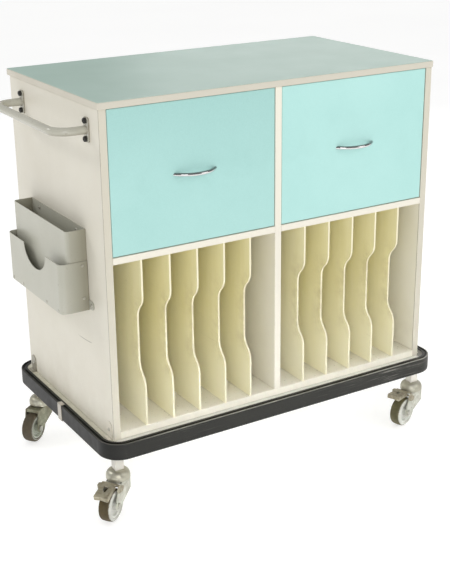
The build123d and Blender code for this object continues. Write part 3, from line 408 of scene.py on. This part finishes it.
def bumper_rubber():
    """Black rubber ring: scuffed face, grey dust on its top, a painted highlight along its outer ridge at the front,
    and painted shade on its left part, its left-facing faces and low on its face.
    """
    k = Look("bumper_rubber", specular=0.32)
    base = k.mix(k.span(k.noise(10.0, 5.0, 0.65), 0.3, 0.7), lin(34, 34, 31), lin(43, 43, 39))
    fine = k.span(k.noise(300.0, 3.0, 0.7), 0.4, 0.65)
    base = k.mix(k.math("MULTIPLY", fine, 0.25), base, lin(58, 57, 52))
    long_marks = k.noise(1.0, 5.0, 0.7, 0.2, k.stretch(9.0, 9.0, 230.0))
    scuff = k.times(k.span(long_marks, 0.57, 0.70), k.span(k.noise(5.0, 3.0), 0.48, 0.66))
    x, y, z = (k.axis(k.pos, i) for i in range(3))
    # painted shade: the ring is darker towards its left part
    base = k.mix(k.span(x, -0.46, -0.12, 0.42, 0.0), base, lin(20, 20, 18))
    base = k.mix(k.math("MULTIPLY", scuff, 0.7), base, lin(98, 96, 88))
    corner = k.times(k.span(x, 0.18, 0.36), k.span(y, -0.2, -0.25))
    rub = k.times(corner, k.span(long_marks, 0.50, 0.64), k.span(k.noise(16.0, 3.0), 0.36, 0.60))
    base = k.mix(k.math("MULTIPLY", rub, 0.6), base, lin(140, 137, 129))
    spots = k.times(k.span(k.noise(70.0, 5.0, 0.75, 0.8), 0.66, 0.74), k.span(k.noise(6.0, 2.0), 0.52, 0.62))
    base = k.mix(k.math("MULTIPLY", spots, 0.55), base, lin(128, 124, 114))
    # painted shade: darker towards the bottom of the ring's face
    low = k.span(z, BUMPER[0][2], BUMPER[0][2] + 0.014, 0.55, 0.0)
    base = k.mix(low, base, lin(26, 26, 24))
    # painted shade: the faces that look left are darkened, more so towards the front
    left_face_shade = k.span(k.axis(k.normal, 0), -0.2, -0.9, 0.0, 0.9)
    base = k.mix(left_face_shade, base, k.mix(k.span(y, -0.15, 0.2), lin(17, 17, 15), lin(30, 29, 28)))
    up = k.facing(2, 1)
    base = k.mix(k.times(up, k.span(k.noise(35.0, 5.0, 0.7), 0.42, 0.75), 0.4), base, lin(78, 75, 67))
    # distance in from the outer edge of the ring
    off = []
    for i, v in ((0, x), (1, y)):
        mid, half = (BUMPER[0][i] + BUMPER[1][i]) / 2, (BUMPER[1][i] - BUMPER[0][i]) / 2
        off.append(k.math("SUBTRACT", k.math("ABSOLUTE", k.math("SUBTRACT", v, mid)), half - 0.056))
    over = [k.math("POWER", k.math("MAXIMUM", v, 0.0), 2.0) for v in off]
    reach = k.math("ADD", k.math("SQRT", k.math("ADD", *over)), k.math("MINIMUM", k.math("MAXIMUM", *off), 0.0))
    # painted highlight: a light line along the top of the outer ridge at the front, with lower roughness
    bead_highlight = k.times(k.span(reach, 0.0515, 0.0530), k.span(k.axis(k.normal, 2), 0.15, 0.6),
                   k.span(k.noise(20.0, 4.0, 0.7), 0.30, 0.55, 0.45, 1.0), k.span(y, -0.17, -0.26, 0.12, 1.0),
                   k.span(x, -0.43, -0.30, 0.2, 1.0))
    base = k.mix(k.math("MULTIPLY", bead_highlight, 0.85), base, lin(168, 166, 158))
    k.color(base)
    rough = k.span(k.math("ADD", k.noise(20.0, 4.0), k.math("MULTIPLY", scuff, 0.3)), 0.3, 0.9, 0.36, 0.62)
    k.rough(k.math("SUBTRACT", rough, k.math("MULTIPLY", bead_highlight, 0.15)))
    k.bump(k.noise(520.0, 3.0, 0.7), 0.14, 0.0003)
    k.bump(long_marks, 0.10, 0.0006)
    return k.mat


def tray_paint():
    """Pale paint on the deck, worn at its edges; along its sides a grey-brown tone, partly dirt and partly painted
    shade from the cabinet, much darker on the right.
    """
    k = Look("tray_paint", specular=0.35)
    k.soften(0.0006)
    base = k.mix(k.span(k.noise(12.0, 5.0, 0.65), 0.3, 0.7), lin(226, 225, 216), lin(236, 235, 228))
    x = k.axis(k.pos, 0)
    ragged = k.span(k.noise(40.0, 4.0, 0.7), 0.3, 0.7, -0.003, 0.003)
    x = k.math("ADD", x, ragged)
    # sides of the deck: partly dirt, partly painted shade from the cabinet; the right side is darker
    left = k.mix(k.span(k.noise(30.0, 5.0, 0.7), 0.3, 0.7), lin(193, 190, 171), lin(212, 209, 192))
    base = k.mix(k.span(x, -0.434, -0.441), base, left)
    right = k.mix(k.span(k.noise(30.0, 5.0, 0.7), 0.3, 0.7), lin(112, 111, 105), lin(138, 136, 128))
    base = k.mix(k.span(x, 0.474, 0.481), base, right)
    dust = k.span(k.noise(55.0, 6.0, 0.75), 0.38, 0.70)
    base = k.mix(k.math("MULTIPLY", dust, 0.12), base, lin(166, 160, 142))
    specks = k.span(k.noise(230.0, 2.0, 0.6), 0.64, 0.70)
    base = k.mix(k.math("MULTIPLY", specks, 0.35), base, lin(84, 79, 66))
    # painted shade: corners and contacts found by ambient occlusion are darkened, partly dirt
    base = k.mix(k.times(k.occlusion_shade(0.006), 0.4), base, lin(110, 103, 82))
    worn = k.times(k.edge(0.0012), k.span(k.noise(70.0, 4.0, 0.7), 0.46, 0.62))
    base = k.mix(k.math("MULTIPLY", worn, 0.6), base, lin(120, 108, 88))
    k.color(base)
    k.rough(k.span(k.math("ADD", k.noise(25.0, 4.0), k.math("MULTIPLY", dust, 0.3)), 0.3, 0.9, 0.38, 0.68))
    k.bump(dust, 0.08, 0.0003)
    return k.mat


def wheel_look(name, centre, axle, tread, side, tread_from, dirt, rough, rings):
    """Rubber or plastic of a wheel: one tone on the tread, one on the sides, and
    rings (radius, half width, colour, strength) round the axle."""
    k = Look(name, specular=0.35)
    rel = k.node("ShaderNodeVectorMath")
    rel.operation = "SUBTRACT"
    k.put(rel.inputs[0], k.pos)
    rel.inputs[1].default_value = centre
    cross = k.node("ShaderNodeVectorMath")
    cross.operation = "CROSS_PRODUCT"
    k.put(cross.inputs[0], rel.outputs[0])
    cross.inputs[1].default_value = axle
    size = k.node("ShaderNodeVectorMath")
    size.operation = "LENGTH"
    k.put(size.inputs[0], cross.outputs[0])
    r = k.math("ADD", size.outputs["Value"], k.span(k.noise(160.0, 3.0), 0.3, 0.7, -0.0006, 0.0006))
    outer = k.span(r, tread_from - 0.0008, tread_from + 0.0012)
    cloud = k.span(k.noise(55.0, 5.0, 0.7), 0.35, 0.68)
    dark = tuple(v * 0.72 for v in tread[:3]) + (1.0,)
    col_t = k.mix(cloud, tread, dark)
    col_s = k.mix(k.math("MULTIPLY", cloud, dirt), side, tread)
    for radius, half, col, amount in rings:
        off = k.math("ABSOLUTE", k.math("SUBTRACT", r, radius))
        col_s = k.mix(k.span(off, half * 0.4, half * 1.3, amount, 0.0), col_s, col)
    base = k.mix(outer, col_s, col_t)
    grit = k.span(k.noise(380.0, 3.0, 0.7), 0.55, 0.68)
    base = k.mix(k.math("MULTIPLY", grit, 0.22), base, dark)
    k.color(base)
    k.rough(k.span(k.noise(60.0, 4.0), 0.3, 0.7, *rough))
    k.bump(k.noise(450.0, 3.0, 0.7), 0.12, 0.0002)
    return k.mat


CREAM = (lin(213, 208, 194), lin(221, 217, 204), lin(203, 198, 182), lin(164, 152, 126))
# paler cream for faces in the bays: painted light
BAY_LIT_CREAM = (lin(238, 234, 220), lin(243, 240, 228))
FRONT_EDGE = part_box("left_side_panel")[0][1]
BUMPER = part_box("bumper")
PANEL_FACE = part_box("left_side_panel")[0][0]
LOOKS = {
    "sage_laminate": sage_laminate(),
    "aqua_board": aqua_board("aqua_board", lin(168, 214, 209), lin(177, 221, 216)),
    # painted shade: the left drawer front is a darker copy of the aqua board, with a deeper tone towards its top edge
    "left_aqua": aqua_board("left_aqua", lin(162, 207, 202), lin(171, 214, 209), lin(153, 197, 192)),
    "cream_board": board("cream_board", lin(200, 194, 179), lin(208, 203, 189), lin(203, 198, 184), lin(158, 146, 120)),
    "left_cream": board("left_cream", *CREAM, low=0.20, bay_lit_faces=(1, *BAY_LIT_CREAM), seam=FRONT_EDGE + 0.0012,
                        scuff=((-0.064, 0.4072), (-0.148, 0.4126), 0.0011)),
    "right_cream": board("right_cream", *CREAM, low=0.20, bay_lit_faces=(-1, *BAY_LIT_CREAM), seam=FRONT_EDGE + 0.0012),
    "bay_cream": board("bay_cream", *BAY_LIT_CREAM, lin(229, 224, 210), lin(166, 154, 128)),
    "base_cream": board("base_cream", lin(240, 237, 223), lin(245, 242, 231), lin(232, 228, 213),
                        lin(166, 154, 126), floor_dirt=True),
    "inner_board": board("inner_board", lin(238, 234, 218), lin(243, 239, 226), lin(232, 228, 213), lin(166, 154, 128)),
    "divider_board": divider_board(),
    "grey_paint": painted("grey_paint", lin(182, 180, 166), lin(193, 191, 178), lin(116, 106, 88), chips=0.5,
                          rough=(0.16, 0.28), spots=0.8, underside_shade=0.40, scratch=0.5, tip=PANEL_FACE),
    "pocket_paint": painted("pocket_paint", lin(179, 178, 164), lin(187, 186, 173), lin(122, 114, 96), dent=0.03,
                            rough=(0.33, 0.38), spots=0.3, scratch=0.15, flank_shade=lin(146, 142, 124)),
    "clip_metal": painted("clip_metal", lin(168, 161, 149), lin(186, 180, 169), lin(104, 82, 56), chips=0.8, spots=0.7),
    "bracket_paint": painted("bracket_paint", lin(210, 204, 188), lin(218, 212, 197), lin(120, 106, 82),
                             rear=lin(152, 147, 132)),
    "white_paint": painted("white_paint", lin(211, 208, 198), lin(220, 217, 209), lin(120, 96, 70), chips=0.6),
    "black_bolt": painted("black_bolt", lin(22, 22, 19), lin(31, 31, 27), lin(84, 81, 73), edge_r=0.0010,
                          chips=0.3, rough=(0.34, 0.5)),
    "tray_paint": tray_paint(),
    "bumper_rubber": bumper_rubber(),
    "chrome": chrome(),
    "runner_steel": metal("runner_steel", lin(176, 176, 174), lin(200, 200, 198), lin(120, 116, 104)),
    "zinc_fastener": metal("zinc_fastener", lin(196, 194, 184), lin(214, 212, 203), lin(104, 94, 76), spangle=300.0, dirty=0.2, rust=0.9),
    "caster_zinc": metal("caster_zinc", lin(196, 197, 185), lin(214, 215, 204), lin(136, 126, 102), (0.26, 0.46), 0.70,
                         rust=0.55),
    # painted shade: a darker copy of the caster zinc for the back forks, partly dirt
    "old_shaded_zinc": metal("old_shaded_zinc", lin(133, 134, 114), lin(154, 156, 135), lin(92, 82, 60), (0.34, 0.56), 0.70, dirty=0.6,
                      rust=0.75),
    "dome_zinc": metal("dome_zinc", lin(186, 183, 166), lin(202, 200, 184), lin(122, 110, 84), (0.38, 0.52), 0.80,
                       spangle=40.0, dirty=0.3, rust=0.6),
    "axle_steel": metal("axle_steel", lin(178, 177, 167), lin(200, 199, 190), lin(112, 102, 84), spangle=260.0),
    "pedal_steel": metal("pedal_steel", lin(158, 151, 129), lin(180, 173, 151), lin(98, 88, 65), (0.36, 0.58), 0.60,
                         spangle=150.0, dirty=0.5),
}
PAINTED_NODES = {"left_drawer_front": "left_aqua", "base_board": "base_cream", "left_side_panel": "left_cream", "right_side_panel": "right_cream",
                 "centre_upright": "bay_cream", "left_shelf": "bay_cream", "right_shelf": "bay_cream"}
PAINTED_NODES.update({n: "dome_zinc" for n in nodes if "dome" in n})
PAINTED_NODES.update({"back_left_fork": "old_shaded_zinc", "back_right_fork": "old_shaded_zinc"})
slot_of = {s["node"]: s["material_slot"] for s in frame["record"]["subparts"]}
TREADS = {"front_left": lin(83, 71, 45), "front_right": lin(96, 91, 62), "back_left": lin(82, 73, 56),
          "back_right": lin(94, 86, 68)}
LIGHT_SIDE, DARK_SIDE = lin(216, 217, 209), lin(92, 87, 72)
LIGHT_HUB, GREY_HUB = lin(222, 223, 216), lin(165, 171, 155)
spin = {j["child"]: j for j in frame["joints"] if j["name"].endswith("_wheel_spin")}
for name, obj in nodes.items():
    slot = slot_of[name]
    corner = "_".join(name.split("_")[:2])
    if slot in ("tyre", "hub_plastic"):
        j = spin[corner + "_wheel"]
        front = corner.startswith("front")
        tread = TREADS[corner]
        if slot == "tyre":
            rings = ((0.0305, 0.0008, tread, 0.35),) if front else ((0.0332, 0.0008, LIGHT_SIDE, 0.7),)
            mat = wheel_look(name, j["pos_m"], j["axis"], tread, LIGHT_SIDE if front else DARK_SIDE, 0.0372, 0.35,
                             (0.5, 0.78), rings)
        else:
            rings = ((0.0100, 0.0016, tread, 0.25),)
            if not front:
                rings += ((0.0275, 0.0010, LIGHT_HUB, 0.7), (0.0190, 0.0009, LIGHT_HUB, 0.5))
            mat = wheel_look(name, j["pos_m"], j["axis"], tread, LIGHT_HUB if front else GREY_HUB, 0.06, 0.30,
                             (0.34, 0.52), rings)
    else:
        mat = LOOKS[PAINTED_NODES.get(name, slot)]
    obj.data.materials.clear()
    obj.data.materials.append(mat)

# ---------------------------------------------------------------- floor, light, camera
fm = Look("studio_floor", specular=0.2)
fm.color(fm.mix(fm.span(fm.noise(0.8, 3.0), 0.3, 0.7), lin(196, 196, 195), lin(200, 200, 199)))
fm.bsdf.inputs["Emission Color"].default_value = (1.0, 1.0, 1.0, 1.0)
fm.bsdf.inputs["Emission Strength"].default_value = 0.58
fm.rough(fm.span(fm.noise(3.0, 3.0), 0.3, 0.7, 0.80, 0.92))
floor_mesh = bpy.data.meshes.new("studio_floor")
S = 40.0
floor_mesh.from_pydata([(-S, -S, 0), (S, -S, 0), (S, S, 0), (-S, S, 0)], [], [(0, 1, 2, 3)])
floor = bpy.data.objects.new("studio_floor", floor_mesh)
floor_mesh.materials.append(fm.mat)
scene.collection.objects.link(floor)

world = bpy.data.worlds.new("studio")
scene.world = world
world.use_nodes = True
wt = world.node_tree
bg = wt.nodes["Background"]
bg.inputs["Strength"].default_value = 0.66
# mirrors see a studio with a dark wall in front, a bright ceiling, and a back
# wall that gets brighter to the right
where = wt.nodes.new("ShaderNodeTexCoord")
split = wt.nodes.new("ShaderNodeSeparateXYZ")
wt.links.new(where.outputs["Generated"], split.inputs[0])


def ramp(axis, a, b, c, d):
    n = wt.nodes.new("ShaderNodeMapRange")
    n.inputs["From Min"].default_value = a
    n.inputs["From Max"].default_value = b
    n.inputs["To Min"].default_value = c
    n.inputs["To Max"].default_value = d
    wt.links.new(split.outputs[axis], n.inputs["Value"])
    return n.outputs["Result"]


def blend(fac, a, b):
    n = wt.nodes.new("ShaderNodeMix")
    n.data_type = "RGBA"
    for sock, v in ((n.inputs[0], fac), (n.inputs[6], a), (n.inputs[7], b)):
        if isinstance(v, bpy.types.NodeSocket):
            wt.links.new(v, sock)
        else:
            sock.default_value = v
    return n.outputs[2]


DARK, WHITE = (0.07, 0.07, 0.07, 1.0), (1.0, 1.0, 1.0, 1.0)
front_wall = blend(ramp(2, 0.36, 0.70, 0.0, 1.0), DARK, WHITE)
mirror_view = blend(ramp(1, -0.35, 0.0, 0.0, 1.0), front_wall, ramp(0, 0.20, 0.62, 0.64, 0.90))
path = wt.nodes.new("ShaderNodeLightPath")
wt.links.new(blend(path.outputs["Is Glossy Ray"], WHITE, mirror_view), bg.inputs["Color"])


def soft_light(name, place, aim, size, power, tint=(1.0, 1.0, 1.0), spread=180.0):
    data = bpy.data.lights.new(name, "AREA")
    data.shape = "RECTANGLE"
    data.size, data.size_y = size
    data.energy = power
    data.color = tint
    data.spread = math.radians(spread)
    obj = bpy.data.objects.new(name, data)
    obj.location = place
    obj.rotation_euler = (Vector(aim) - Vector(place)).to_track_quat("-Z", "Y").to_euler()
    scene.collection.objects.link(obj)
    return obj


soft_light("key", (2.6, -2.9, 2.2), (0.1, 0.0, 0.55), (2.0, 2.0), 40.0, (1.0, 0.99, 0.97))
soft_light("bays", (-2.2, -3.4, 1.75), (0.0, 0.0, 0.42), (1.6, 1.2), 28.0)
soft_light("low", (-0.9, -3.4, 1.45), (0.06, -0.2, 0.12), (1.2, 0.2), 0.5, spread=14.0)
soft_light("left", (-2.4, 1.9, 2.6), (-0.4, 0.0, 0.6), (0.7, 0.7), 21.0)
soft_light("back", (2.8, 3.0, 1.9), (0.2, 0.0, 0.95), (2.8, 1.6), 16.0)

az, el, roll = math.radians(31.19), math.radians(20.30), math.radians(-0.665)
back = Vector((-math.sin(az) * math.cos(el), -math.cos(az) * math.cos(el), math.sin(el)))
right = Vector((0, 0, 1)).cross(back).normalized()
up = back.cross(right)
r1 = right * math.cos(roll) + up * math.sin(roll)
u1 = up * math.cos(roll) - right * math.sin(roll)
cam_data = bpy.data.cameras.new("camera")
cam = bpy.data.objects.new("camera", cam_data)
scene.collection.objects.link(cam)
m = Matrix((r1, u1, back)).transposed().to_4x4()
m.translation = Vector((-1.46725, -2.450691, 1.4888))
cam.matrix_world = m
cam_data.sensor_width = 36.0
cam_data.lens = 1154.05 * 36.0 / 563.0
cam_data.clip_end = 200.0
scene.camera = cam

scene.view_settings.view_transform = "Standard"
